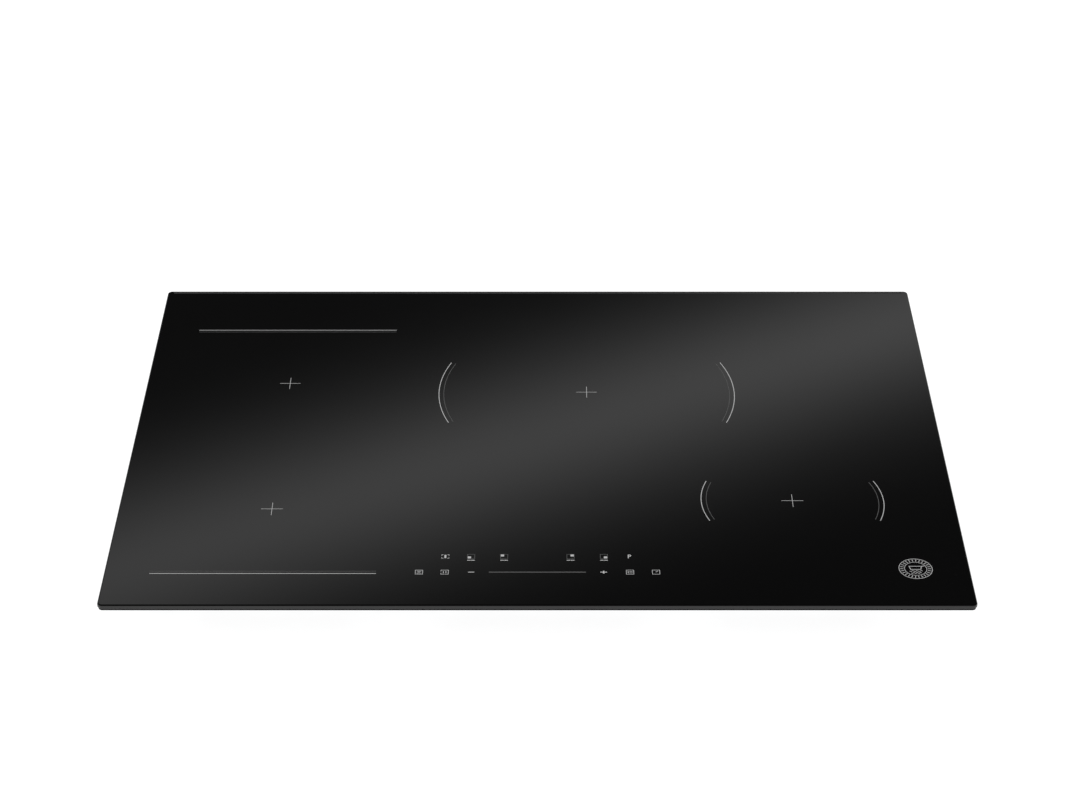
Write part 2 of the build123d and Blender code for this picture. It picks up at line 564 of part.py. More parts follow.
def spring(x, y):
    """A compression spring round the guide pin, from its seat to the tray."""
    height = TRAY_Z - SPRING_SEAT_Z - 2 * (SPRING_WIRE + SPRING_GAP)
    path = Helix(pitch=height / SPRING_TURNS, height=height, radius=SPRING_R)
    coil = sweep(Plane(origin=path @ 0, z_dir=path % 0) * Circle(SPRING_WIRE), path=path)
    return Pos(x, y, SPRING_SEAT_Z + SPRING_WIRE + SPRING_GAP) * coil


def coil_leads(board_x, board_y, coil_x, coil_y):
    """A pair of wires from the power board up to the underside of the tray."""
    top, turn = BOARD_Z + BOARD_T, COIL_LEAD_Z
    wires = []
    for step in COIL_LEAD_STEPS:
        foot, end = (board_x + step, board_y + step), (coil_x + step, coil_y + step)
        wires.append(lead([(*foot, top), (*foot, turn), (*end, turn), (*end, TRAY_Z)], COIL_LEAD_BEND))
    return wires


def zone(name, tray, formers, ferrites, windings, mica, sensors, posts, wires):
    """Write the eight nodes of one coil assembly."""
    save(f"{name}_tray", tray)
    save(f"{name}_former", *formers)
    save(f"{name}_ferrites", *ferrites)
    save(f"{name}_winding", *windings)
    save(f"{name}_mica", mica)
    save(f"{name}_sensor", *sensors)
    save(f"{name}_springs", *[spring(x, y) for x, y in posts])
    save(f"{name}_leads", *wires)


def round_zone(name, x, y, r, ears, rings, bars, wires):
    """A round coil. rings holds the inner and outer radius of each winding."""
    rims = [outer + RIM for _, outer in rings] + [COIL_HOLE_R]
    posts = around(x, y, r + EAR_REACH, ears)
    mica = drum(x, y, (MICA_Z, MICA_Z + MICA_T), r) - drum(x, y, (MICA_Z - 1, GLASS_Z), SENSOR_HOLE)
    coils = [winding(x, y, 0.0, 0.0, inner, outer) for inner, outer in rings]
    ferrites = ferrite_bars(x, y, bars, COIL_HOLE_R + FERRITE_IN, r - FERRITE_OUT)
    former = round_former(x, y, r, rims)
    zone(name, round_tray(x, y, r, posts), [former], ferrites, coils, mica, [sensor(x, y)], posts, wires)
    return posts


def flex_former(y):
    """A rounded rectangular plate with an outer and an inner rim."""
    z, wall, at = (FORMER_Z, FORMER_Z + FORMER_T), (FORMER_Z, MICA_Z), (FLEX_X, y)
    form = plate(FLEX_COIL_W, FLEX_COIL_D, z, FLEX_CORNER, at)
    rim = plate(FLEX_COIL_W, FLEX_COIL_D, wall, FLEX_CORNER, at)
    rim -= plate(FLEX_COIL_W - 2 * RIM, FLEX_COIL_D - 2 * RIM, wall, FLEX_CORNER - RIM, at)
    hub = drum(FLEX_X, y, wall, COIL_HOLE_R - RIM)
    return form + rim + hub - drum(FLEX_X, y, (FORMER_Z - 1, MICA_Z + 1), SENSOR_HOLE)


def flex_zone():
    """Two rounded rectangular coils, front and rear, on one tray."""
    centres = (FLEX_REAR_Y, FLEX_FRONT_Y)
    middle = (FLEX_REAR_Y + FLEX_FRONT_Y) / 2
    width = FLEX_COIL_W + 2 * FLEX_MARGIN
    depth = FLEX_REAR_Y - FLEX_FRONT_Y + FLEX_COIL_D + 2 * FLEX_MARGIN
    tray = plate(width, depth, (TRAY_Z, TRAY_Z + TRAY_T), FLEX_TRAY_CORNER, (FLEX_X, middle))
    tray -= [drum(x, y, (TRAY_Z - 1, TRAY_Z + TRAY_T + 1), GUIDE_HOLE) for x, y in FLEX_POSTS]
    core_w, core_d = FLEX_COIL_W - 2 * FLEX_CORNER, FLEX_COIL_D - 2 * FLEX_CORNER
    coils = [winding(FLEX_X, y, core_w, core_d, COIL_HOLE_R, FLEX_CORNER - RIM) for y in centres]
    mica = plate(width, depth, (MICA_Z, MICA_Z + MICA_T), FLEX_TRAY_CORNER, (FLEX_X, middle))
    mica -= [drum(FLEX_X, y, (MICA_Z - 1, GLASS_Z), SENSOR_HOLE) for y in centres]
    bars = [part for y in centres for part in ferrite_bars(FLEX_X, y, FLEX_BARS, *FLEX_FERRITES)]
    formers = [flex_former(y) for y in centres]
    sensors = [sensor(FLEX_X, y) for y in centres]
    wires = coil_leads(*FLEX_LEADS)
    zone("flex", tray, formers, bars, coils, mica, sensors, FLEX_POSTS, wires)
    return FLEX_POSTS


def coil_zones():
    """Write the three floating assemblies and return where their springs stand."""
    posts = list(flex_zone())
    rings = [(COIL_HOLE_R, CENTRE_SPLIT_R), (CENTRE_SPLIT_R + 2 * RIM, CENTRE_R - RIM)]
    wires = coil_leads(*CENTRE_LEADS)
    posts += round_zone("centre", CENTRE_X, CENTRE_Y, CENTRE_R, CENTRE_EARS, rings, CENTRE_BARS, wires)
    rings = [(COIL_HOLE_R, RIGHT_R - RIM)]
    wires = coil_leads(*RIGHT_LEADS)
    posts += round_zone("right", RIGHT_X, RIGHT_Y, RIGHT_R, RIGHT_EARS, rings, RIGHT_BARS, wires)
    return posts


def support_posts(places):
    """Stepped posts that guide the coil springs, cut to the slope, and short ones under the boards."""
    posts = []
    for x, y in places:
        post = drum(x, y, (SHEET, SPRING_SEAT_Z), POST_R) + drum(x, y, (SPRING_SEAT_Z, GUIDE_TOP), GUIDE_R)
        post = fillet(post.edges().sort_by(Axis.Z)[-1], GUIDE_ROUND)
        posts.append(post - front_slope(SHEET))
    reach_x, reach_y = BOARD_W / 2 - FOOT_INSET, BOARD_D / 2 - FOOT_INSET
    corners = [(dx, dy) for dx in (-reach_x, reach_x) for dy in (-reach_y, reach_y)]
    feet = [(x + dx, BOARD_Y + dy) for x in BOARDS_X for dx, dy in corners]
    filter_x, filter_y = [(low + FOOT_INSET, high - FOOT_INSET) for low, high in (FILTER_X, FILTER_Y)]
    feet += [(x, y) for x in filter_x for y in filter_y]
    return posts + [drum(x, y, (SHEET, BOARD_Z), FOOT_R) for x, y in feet]


# Power electronics


def power_boards():
    z = (BOARD_Z, BOARD_Z + BOARD_T)
    return [plate(BOARD_W, BOARD_D, z, BOARD_CORNER, (x, BOARD_Y)) for x in BOARDS_X]


def filter_board():
    return block(FILTER_X, FILTER_Y, (BOARD_Z, BOARD_Z + BOARD_T))


def heatsinks():
    """An extruded comb of fins on each power board, along the air stream."""
    low = BOARD_Z + BOARD_T
    y = (BOARD_Y - SINK_D / 2, BOARD_Y + SINK_D / 2)
    combs = []
    for x in BOARDS_X:
        comb = block((x - SINK_W / 2, x + SINK_W / 2), y, (low, low + SINK_H))
        for fin in range(1, FINS):
            middle = x - SINK_W / 2 + SINK_W / FINS * fin
            gap = (middle - FIN_GAP / 2, middle + FIN_GAP / 2)
            comb -= block(gap, (y[0] - 1, y[1] + 1), (low + SINK_BASE, low + SINK_H + 1))
        combs.append(comb)
    return combs


def power_transistors():
    """Flat packages that stand against the side of each heatsink, under the duct."""
    z = (BOARD_Z + BOARD_T, BOARD_Z + BOARD_T + DEVICE_H)
    parts = []
    for x in BOARDS_X:
        side = x + SINK_W / 2
        for y in spread(4, *DEVICES_Y):
            parts.append(block((side, side + DEVICE_T), (y - DEVICE_W / 2, y + DEVICE_W / 2), z))
    return parts


def air_ducts():
    """A moulded tunnel over each heatsink, from the fan outlet towards the slots in front."""
    y = (BOARD_Y - SINK_D / 2 - DUCT_AHEAD, FAN_Y - DUCT_FAN_GAP)
    z = (BOARD_Z + BOARD_T, DUCT_TOP)
    half = DUCT_W / 2
    ducts = []
    for x in BOARDS_X:
        duct = block((x - half, x + half), y, z)
        inside = (x - half + DUCT_WALL, x + half - DUCT_WALL)
        ducts.append(duct - block(inside, (y[0] - 1, y[1] + 1), (z[0] - 1, z[1] - DUCT_WALL)))
    return ducts


def capacitors():
    """Film capacitors beside each duct, and two on the filter board."""
    low = BOARD_Z + BOARD_T
    z = (low, low + CAP_H)
    places = [(x + CAP_OFF_X, y) for x in BOARDS_X for y in spread(4, *CAPS_Y)]
    cans = [plate(CAP_W, CAP_D, z, CAP_CORNER, place) for place in places]
    z = (low, low + FILTER_CAP_H)
    return cans + [plate(FILTER_CAP_W, FILTER_CAP_D, z, CAP_CORNER, (FILTER_CAP_X, y)) for y in FILTER_CAPS_Y]


def filter_chokes():
    """Two ring cores, each inside a winding of round turns."""
    turn = Pos(CORE_R, 0, 0) * Rot(90, 0, 0) * Torus(TURN_R, TURN_WIRE_R)
    chokes = []
    for y in CHOKES_Y:
        centre = Pos(CHOKE_X, y, BOARD_Z + BOARD_T + CHOKE_UP)
        chokes.append(centre * Torus(CORE_R, CORE_SECTION_R))
        chokes += [centre * Rot(0, 0, angle) * turn for angle in range(0, 360, TURN_STEP)]
    return chokes


# Fans


def fan_housing(x):
    """A drum with an outlet to the front, an intake below and the motor stator under its lid."""
    low, high = FAN_Z
    half, outlet_y = FAN_OUTLET_W / 2, FAN_Y - FAN_OUTLET
    room = (low + FAN_WALL, high - FAN_WALL)
    shell = drum(x, FAN_Y, FAN_Z, FAN_R) + block((x - half, x + half), (outlet_y, FAN_Y), FAN_Z)
    shell -= drum(x, FAN_Y, room, FAN_R - FAN_WALL)
    shell -= block((x - half + FAN_WALL, x + half - FAN_WALL), (outlet_y - 1, FAN_Y), room)
    shell -= drum(x, FAN_Y, (low - 1, low + FAN_WALL + 1), INTAKE_R)
    shell += drum(x, FAN_Y, (SHAFT_Z[1], room[1]), STATOR_R)
    return shell + drum(x, FAN_Y, SHAFT_Z, SHAFT_R)


def fan_rotor(x):
    """A radial impeller: motor cup, back ring, blades and lower ring on a bored boss."""
    low, top = IMPELLER_Z
    cup = drum(x, FAN_Y, (CUP_Z[0], top), IMPELLER_HUB_R)
    rotor = cup - drum(x, FAN_Y, (CUP_Z[1], top), IMPELLER_HUB_R - IMPELLER_T)
    back, outside = (top - IMPELLER_T, top), IMPELLER_R + IMPELLER_LIP
    rotor += drum(x, FAN_Y, back, outside) - drum(x, FAN_Y, back, IMPELLER_HUB_R - IMPELLER_T / 2)
    ring = (low, low + IMPELLER_T)
    rotor += drum(x, FAN_Y, ring, outside) - drum(x, FAN_Y, ring, outside - RING_W)
    blade = Box(BLADE_L, BLADE_T, back[1] - ring[0])
    blade = Pos(IMPELLER_R - BLADE_IN, 0, (ring[0] + back[1]) / 2) * Rot(0, 0, BLADE_TURN) * blade
    rotor += [Pos(x, FAN_Y, 0) * Rot(0, 0, 360 / BLADES * i) * blade for i in range(BLADES)]
    rotor += drum(x, FAN_Y, BOSS_Z, BOSS_R)
    return rotor - drum(x, FAN_Y, (SHAFT_Z[0] - 1, SHAFT_Z[1]), SHAFT_R + SHAFT_CLEARANCE)


# Touch controls


def inward(span, by):
    """A span made shorter at both ends."""
    return (span[0] + by, span[1] - by)


def control_holder():
    """A moulded tray that holds the touch board under the glass, on four legs cut to the slope."""
    tray = block(CONTROL_X, CONTROL_Y, (CONTROL_Z, GLASS_Z))
    x, y = inward(CONTROL_X, HOLDER_WALL), inward(CONTROL_Y, HOLDER_WALL)
    tray -= block(x, y, (CONTROL_Z + HOLDER_WALL, HEIGHT))
    hole_x = (RIBBON_X - RIBBON_HOLE_HALF_W, RIBBON_X + RIBBON_HOLE_HALF_W)
    hole_y = (RIBBON_Y - RIBBON_HOLE_HALF_D, RIBBON_Y + RIBBON_HOLE_HALF_D)
    tray -= block(hole_x, hole_y, (CONTROL_Z - 1, CONTROL_Z + HOLDER_WALL + 1))
    for x in inward(CONTROL_X, LEG_INSET):
        for y in inward(CONTROL_Y, LEG_INSET):
            tray += drum(x, y, (SHEET, PCB_Z), LEG_R) - front_slope(SHEET)
    return tray


def control_board():
    gap = HOLDER_WALL + PCB_GAP
    return block(inward(CONTROL_X, gap), inward(CONTROL_Y, gap), (PCB_Z, PCB_Z + PCB_T))


def touch_pads():
    """Conductive foam between the board and the glass, one under each key, and the slider's bar."""
    z = (PCB_Z + PCB_T, GLASS_Z)
    pads = [drum(x, KEY_ROWS_Y[1] + KEY_PAD_BACK, z, PAD_R) for x in KEY_X]
    pads += [drum(x, KEY_ROWS_Y[0] + SELECTOR_PAD_BACK, z, PAD_R) for x in SELECTOR_X]
    return pads + [block(SLIDER_X, (KEY_ROWS_Y[1] - SLIDER_PAD_HALF, KEY_ROWS_Y[1] + SLIDER_PAD_HALF), z)]


def light_boxes(xs, y, back):
    z = (PCB_Z + PCB_T, GLASS_Z - LIGHT_GAP)
    return [block((x - LIGHT_HALF_W, x + LIGHT_HALF_W), (y - LIGHT_FRONT, y + back), z) for x in xs]


def display_modules():
    """Light boxes under the zone selectors and under the keys."""
    boxes = light_boxes(SELECTOR_X, KEY_ROWS_Y[0], SELECTOR_LIGHT_BACK)
    return boxes + light_boxes(KEY_X, KEY_ROWS_Y[1], KEY_LIGHT_BACK)


def ribbon_cable():
    """A flat cable from under the control board to the right power board."""
    x, y, low = RIBBON_X, RIBBON_Y, RIBBON_LOW
    board_y = BOARD_Y - BOARD_D / 2 + RIBBON_BEND
    route = [(x, y, PCB_Z), (x, y, low), (x, board_y, low), (x, board_y, BOARD_Z + BOARD_T)]
    path = FilletPolyline(*route, radius=RIBBON_BEND)
    section = Plane(origin=path @ 0, z_dir=path % 0, x_dir=(1, 0, 0)) * Rectangle(RIBBON_W, RIBBON_T)
    return sweep(section, path=path)


def main():
    os.makedirs("parts", exist_ok=True)
    save("glass_top", glass_top())
    save("glass_bond", glass_bond())
    save("seal_strips", *seal_strips())
    save("glass_frame", glass_frame())
    save("base_casing", base_casing())
    save("casing_screws", *casing_screws())
    for name, x, y, side, way in clamp_places():
        save(f"clamp_arm_{name}", clamp_arm(x, y, side, way))
    save("clamp_fasteners", *[f(x, y) for _, x, y, _, _ in clamp_places() for f in (clamp_screw, clamp_nut)])
    save("terminal_box", terminal_box())
    save("terminal_face", terminal_face())
    save("terminal_cover", terminal_cover())
    save("cover_hinge_pin", bar(COVER_X, PIN_Y, PIN_Z, PIN_R))
    save("terminal_block", terminal_block())
    save("terminal_screws", *terminal_screws())
    save("terminal_links", *terminal_links())
    save("cable_inlet", cable_inlet())
    save("mains_leads", *mains_leads())
    save("support_posts", *support_posts(coil_zones()))
    save("power_boards", *power_boards())
    save("filter_board", filter_board())
    save("heatsinks", *heatsinks())
    save("power_transistors", *power_transistors())
    save("air_ducts", *air_ducts())
    save("capacitors", *capacitors())
    save("filter_chokes", *filter_chokes())
    save("fan_housings", *[fan_housing(x) for x in BOARDS_X])
    for side, x in zip(("left", "right"), BOARDS_X):
        save(f"fan_rotor_{side}", fan_rotor(x))
    save("control_holder", control_holder())
    save("control_board", control_board())
    save("touch_pads", *touch_pads())
    save("display_modules", *display_modules())
    save("ribbon_cable", ribbon_cable())


main()
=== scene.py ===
"""Looks of the induction hob: glass, printed marks, metal and moulded finishes, studio and camera."""

import json

import bmesh
import bpy
import numpy as np
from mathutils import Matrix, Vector

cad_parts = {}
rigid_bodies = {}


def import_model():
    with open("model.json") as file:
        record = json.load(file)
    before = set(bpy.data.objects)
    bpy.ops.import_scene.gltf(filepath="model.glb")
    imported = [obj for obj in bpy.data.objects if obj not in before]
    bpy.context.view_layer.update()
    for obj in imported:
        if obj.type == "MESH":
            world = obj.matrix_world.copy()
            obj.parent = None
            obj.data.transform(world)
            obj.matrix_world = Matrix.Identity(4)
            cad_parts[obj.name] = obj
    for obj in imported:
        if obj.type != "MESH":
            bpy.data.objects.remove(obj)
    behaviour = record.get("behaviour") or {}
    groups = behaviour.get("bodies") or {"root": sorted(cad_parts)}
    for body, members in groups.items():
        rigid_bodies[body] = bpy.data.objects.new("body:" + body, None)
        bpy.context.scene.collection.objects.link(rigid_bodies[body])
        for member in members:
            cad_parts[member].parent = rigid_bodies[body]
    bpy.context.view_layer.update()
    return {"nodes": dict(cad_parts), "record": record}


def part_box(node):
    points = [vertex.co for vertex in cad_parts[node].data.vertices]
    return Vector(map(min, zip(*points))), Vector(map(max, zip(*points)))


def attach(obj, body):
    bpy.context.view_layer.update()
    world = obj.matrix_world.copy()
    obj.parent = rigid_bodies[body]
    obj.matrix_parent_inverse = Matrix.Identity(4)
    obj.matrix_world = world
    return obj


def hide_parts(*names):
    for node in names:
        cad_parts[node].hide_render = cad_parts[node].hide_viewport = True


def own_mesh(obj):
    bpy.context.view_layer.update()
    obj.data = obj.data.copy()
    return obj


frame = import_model()

MM = 0.001

# The glass, read from the frame, and how far below its top the ground edge sets in
GLASS_LOW, GLASS_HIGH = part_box("glass_top")
GLASS_TOP = GLASS_HIGH.z
GROUND_FROM, GROUND_TO = 0.1 * MM, 0.9 * MM

# Printed ink as two greys, and a third grey for the painted highlight along the rear edge
BRIGHT_INK, DIM_INK, PAINTED_HIGHLIGHT_GREY = 0.42, 0.07, 0.024
INK_RAISE = 0.05 * MM
LINE = 0.66 * MM
THIN_LINE = 0.58 * MM
CROSS_LINE = 0.45 * MM
CROSS_ARM = 9.8 * MM
ARC_INSET, INNER_ARC_STEP = 1.0 * MM, 4.6 * MM
ARC_HALF_ANGLE = 22.3
CURVE_POINTS, RING_POINTS = 49, 72
FLEX_INSET_X = 1.1 * MM
FLEX_REAR_INSET, FLEX_FRONT_INSET = 3.1 * MM, 4.3 * MM
FLEX_SECOND_LINE = 3.4 * MM
# Painted highlight along the rear edge: how far in it lies, and how wide it is
HIGHLIGHT_INSET, HIGHLIGHT_WIDTH = 3.2 * MM, 3.6 * MM

# Touch keys: two rows about the middle of the front edge
KEY_FRONT_ROW = 47.7 * MM
KEY_REAR_ROW = 70.8 * MM
PLUS_X, TIMER_X, POWER_X = 57.4 * MM, 80.2 * MM, 102.7 * MM
MINUS_X, PAUSE_X, LOCK_X = -57.3 * MM, -80.2 * MM, -102.4 * MM
BRIDGE_X, BOOST_X = -80.2 * MM, 80.4 * MM
SELECTORS = ((-57.8 * MM, -1, -1), (-29.0 * MM, -1, 1), (28.9 * MM, 1, 1), (58.0 * MM, 1, -1))
KEY_W, KEY_D = 6.8 * MM, 6.4 * MM
KEY_LINE, SELECTOR_LINE = 0.45 * MM, 0.5 * MM
BAR_LINE = 0.9 * MM
MINUS_W, PLUS_W, PLUS_D = 5.4 * MM, 5.8 * MM, 4.0 * MM
PLUS_LINE, PLUS_UPRIGHT = 1.0 * MM, 1.2 * MM
SLIDER_HALF, SLIDER_LINE = 42.0 * MM, 1.4 * MM

# Badge near the front right corner
BADGE_INSET_X, BADGE_INSET_Y, BADGE_R = 47.2 * MM, 52.7 * MM, 14.4 * MM
BADGE_RAYS, BADGE_INNER_R, RAY_GAP = 26, 9.6 * MM, 0.9 * MM

# Joining a copied mesh
MERGE, CORNER = 0.001 * MM, 35.0

# Studio
FLOOR_HALF, FLOOR_GAP = 30.0, 0.2 * MM
BAND_TURN, BAND_PLACE, BAND_WIDTH, BAND_POWER = 120.07, 1.3143, 0.0831, 1.754
BAND_GLOW, DARK_GLOW = 0.65, 0.042
HORIZON_GLOW, HORIZON_LOW, HORIZON_HIGH = 0.85, 0.04, 0.48
PALE, FLOOR_GLOW = 1.0, 0.88
LEAST_UP = 0.02
LAMP_SIZE = 2.4
KEY_LAMP, KEY_POWER = (-1.6, -2.2, 3.0), 24.0
FILL_LAMP, FILL_POWER = (2.4, 1.6, 2.6), 10.0

# Camera
CAMERA_OFF_X, CAMERA_BACK, CAMERA_OVER = 0.0023, 2.1077, 1.3833
CAMERA_PITCH, CAMERA_LENS, SENSOR, CAMERA_REACH = 32.656, 90.10, 36.0, 100.0


# Shader expressions


class Value:
    """One output socket. Arithmetic on it adds Math nodes to its tree."""

    def __init__(self, tree, socket):
        self.tree = tree
        self.socket = socket

    def maths(self, operation, *values):
        sockets = dict(enumerate((self, *values)))
        return add_node(self.tree, "ShaderNodeMath", {"operation": operation}, sockets).first()

    def __add__(self, other):
        return self.maths("ADD", other)

    def __sub__(self, other):
        return self.maths("SUBTRACT", other)

    def __mul__(self, other):
        return self.maths("MULTIPLY", other)

    def __truediv__(self, other):
        return self.maths("DIVIDE", other)

    def __radd__(self, other):
        return self + other

    def __rmul__(self, other):
        return self * other

    def __rsub__(self, other):
        return self.maths_after(other, "SUBTRACT")

    def __rtruediv__(self, other):
        return self.maths_after(other, "DIVIDE")

    def maths_after(self, first, operation):
        """The operation with a number first and this value second."""
        return add_node(self.tree, "ShaderNodeMath", {"operation": operation}, {0: first, 1: self}).first()

    def ramp(self, low, high):
        """A smooth step from 0 at low to 1 at high."""
        settings = {"interpolation_type": "SMOOTHSTEP"}
        sockets = {"Value": self, "From Min": low, "From Max": high}
        return add_node(self.tree, "ShaderNodeMapRange", settings, sockets).first()


class Made:
    """A node just added, whose outputs are read as Values."""

    def __init__(self, tree, node):
        self.tree = tree
        self.node = node

    def first(self):
        return self.out(0)

    def out(self, name):
        return Value(self.tree, self.node.outputs[name])


def add_node(tree, kind, settings=None, sockets=None):
    """Any node: its settings are set first, then each socket gets a value or a link."""
    node = tree.nodes.new(kind)
    for name, value in (settings or {}).items():
        setattr(node, name, value)
    for name, value in (sockets or {}).items():
        if isinstance(value, Value):
            tree.links.new(value.socket, node.inputs[name])
        else:
            node.inputs[name].default_value = value
    return Made(tree, node)


def place(tree):
    """The point on the piece, in metres."""
    return add_node(tree, "ShaderNodeTexCoord").out("Object")


def noise(tree, scale, detail=3.0, stretch=(1.0, 1.0, 1.0)):
    """Smooth noise from 0 to 1 over the piece, stretched along an axis for grain."""
    where = add_node(tree, "ShaderNodeMapping", None, {"Vector": place(tree), "Scale": stretch}).first()
    sockets = {"Vector": where, "Scale": scale, "Detail": detail}
    return add_node(tree, "ShaderNodeTexNoise", None, sockets).out(0)


def cells(tree, scale):
    """A grey value for each cell of a Voronoi pattern."""
    found = add_node(tree, "ShaderNodeTexVoronoi", None, {"Vector": place(tree), "Scale": scale})
    return add_node(tree, "ShaderNodeSeparateColor", None, {0: found.out("Color")}).first()


def blend_colour(tree, share, low, high):
    """The colour low where share is 0 and high where it is 1. Either may be a Value."""
    sockets = {0: share}
    for socket, colour in ((6, low), (7, high)):
        sockets[socket] = colour if isinstance(colour, Value) else (*colour, 1.0)
    return add_node(tree, "ShaderNodeMix", {"data_type": "RGBA"}, sockets).out(2)


def bump(tree, height, strength, distance):
    """A normal tilted by the slope of a height, which is at most distance in metres."""
    sockets = {"Height": height, "Strength": strength, "Distance": distance}
    return add_node(tree, "ShaderNodeBump", None, sockets).first()


def shades(colour, spread):
    """A darker and a lighter version of one colour."""
    return tuple(c * (1 - spread) for c in colour), tuple(min(1.0, c * (1 + spread)) for c in colour)


def new_material(name):
    """A material with no nodes yet."""
    material = bpy.data.materials.new(name)
    material.use_nodes = True
    material.node_tree.nodes.clear()
    return material


def surface(material, sockets):
    """Ends a material with one Principled shader."""
    tree = material.node_tree
    shader = add_node(tree, "ShaderNodeBsdfPrincipled", None, sockets).first()
    add_node(tree, "ShaderNodeOutputMaterial", None, {"Surface": shader})
    return material


# Finishes


def black_glass(name):
    """Polished black glass-ceramic. Its ground edge, below the flat top, is greyer and less bright."""
    material = new_material(name)
    tree = material.node_tree
    height = add_node(tree, "ShaderNodeSeparateXYZ", None, {0: place(tree)}).out("Z")
    edge = 1.0 - height.ramp(GLASS_TOP - GROUND_TO, GLASS_TOP - GROUND_FROM)
    cloud = noise(tree, 9.0)
    face = blend_colour(tree, cloud, (0.0002, 0.0002, 0.00022), (0.0006, 0.0006, 0.00065))
    colour = blend_colour(tree, edge, face, (0.0015, 0.0015, 0.0016))
    rough = 0.035 + cloud * 0.02 + edge * 0.16
    return surface(material, {"Base Color": colour, "Roughness": rough, "IOR": 1.5})


def screen_ink(name, colour):
    """Fired enamel print: matt, with the fine uneven tone of a screen. Also makes the painted highlight
    along the rear edge.
    """
    material = new_material(name)
    tree = material.node_tree
    tone = noise(tree, 1400.0, 2.0)
    low, high = shades(colour, 0.14)
    sockets = {
        "Base Color": blend_colour(tree, tone, low, high),
        "Roughness": 0.42 + tone * 0.12,
        "Normal": bump(tree, tone, 0.15, 0.00002),
        "IOR": 1.5,
    }
    return surface(material, sockets)


def galvanised(name, colour):
    """Hot-dip zinc: flat crystals, each a little lighter or darker, with faint rolling marks."""
    material = new_material(name)
    tree = material.node_tree
    spangle = cells(tree, 110.0) * 0.6 + noise(tree, 45.0) * 0.4
    rolled = noise(tree, 60.0, 2.0, (0.15, 1.0, 6.0))
    low, high = shades(colour, 0.16)
    sockets = {
        "Base Color": blend_colour(tree, spangle, low, high),
        "Metallic": 1.0,
        "Roughness": 0.27 + spangle * 0.16 + rolled * 0.05,
        "Normal": bump(tree, rolled, 0.08, 0.0002),
    }
    return surface(material, sockets)


def drawn_metal(name, colour, roughness, scale=260.0, stretch=(1.0, 1.0, 8.0)):
    """Bare or plated metal with fine drawing lines and a slightly uneven tone."""
    material = new_material(name)
    tree = material.node_tree
    lines = noise(tree, scale, 4.0, stretch)
    tone = noise(tree, 40.0)
    low, high = shades(colour, 0.12)
    sockets = {
        "Base Color": blend_colour(tree, tone * 0.5 + lines * 0.5, low, high),
        "Metallic": 1.0,
        "Roughness": roughness + lines * 0.12,
        "Normal": bump(tree, lines, 0.12, 0.00005),
    }
    return surface(material, sockets)


def moulded(name, colour, roughness=0.5, grain=900.0, depth=0.2):
    """Moulded plastic with a spark-eroded grain and small changes of tone."""
    material = new_material(name)
    tree = material.node_tree
    texture = noise(tree, grain, 3.0)
    tone = noise(tree, 30.0)
    low, high = shades(colour, 0.10)
    sockets = {
        "Base Color": blend_colour(tree, tone, low, high),
        "Roughness": roughness + texture * 0.12,
        "Normal": bump(tree, texture, depth, 0.00006),
        "IOR": 1.46,
    }
    return surface(material, sockets)


def foam(name, colour):
    """Closed-cell foam tape: small pores and a dull skin."""
    material = new_material(name)
    tree = material.node_tree
    pores = cells(tree, 1400.0)
    low, high = shades(colour, 0.35)
    sockets = {
        "Base Color": blend_colour(tree, pores, low, high),
        "Roughness": 0.78 + pores * 0.15,
        "Normal": bump(tree, pores, 0.5, 0.0002),
        "Specular IOR Level": 0.12,
    }
    return surface(material, sockets)


def litz(name, colour):
    """Enamelled copper strands twisted together: fine slanting ridges with darker gaps."""
    material = new_material(name)
    tree = material.node_tree
    settings = {"wave_type": "BANDS", "bands_direction": "DIAGONAL"}
    sockets = {"Vector": place(tree), "Scale": 420.0, "Distortion": 1.5}
    strands = add_node(tree, "ShaderNodeTexWave", settings, sockets).out(1)
    low, high = shades(colour, 0.3)
    sockets = {
        "Base Color": blend_colour(tree, strands, low, high),
        "Metallic": 0.85,
        "Roughness": 0.32 + strands * 0.1,
        "Normal": bump(tree, strands, 0.6, 0.0002),
    }
    return surface(material, sockets)


def circuit_board(name, colour):
    """Green solder mask with slightly raised, lighter copper tracks under it."""
    material = new_material(name)
    tree = material.node_tree
    settings = {"distance": "CHEBYCHEV"}
    found = add_node(tree, "ShaderNodeTexVoronoi", settings, {"Vector": place(tree), "Scale": 160.0})
    tracks = found.out("Distance").ramp(0.30, 0.36)
    low, high = shades(colour, 0.35)
    sockets = {
        "Base Color": blend_colour(tree, tracks, low, high),
        "Roughness": 0.30 + tracks * 0.1,
        "Normal": bump(tree, tracks, 0.3, 0.00004),
    }
    return surface(material, sockets)


def flaked(name, colour, scale=70.0):
    """Pressed mineral sheet or sintered ferrite: flakes of slightly different tone."""
    material = new_material(name)
    tree = material.node_tree
    flakes = cells(tree, scale * 4) * 0.5 + noise(tree, scale) * 0.5
    low, high = shades(colour, 0.18)
    sockets = {
        "Base Color": blend_colour(tree, flakes, low, high),
        "Roughness": 0.6 + flakes * 0.2,
        "Normal": bump(tree, flakes, 0.25, 0.0001),
    }
    return surface(material, sockets)


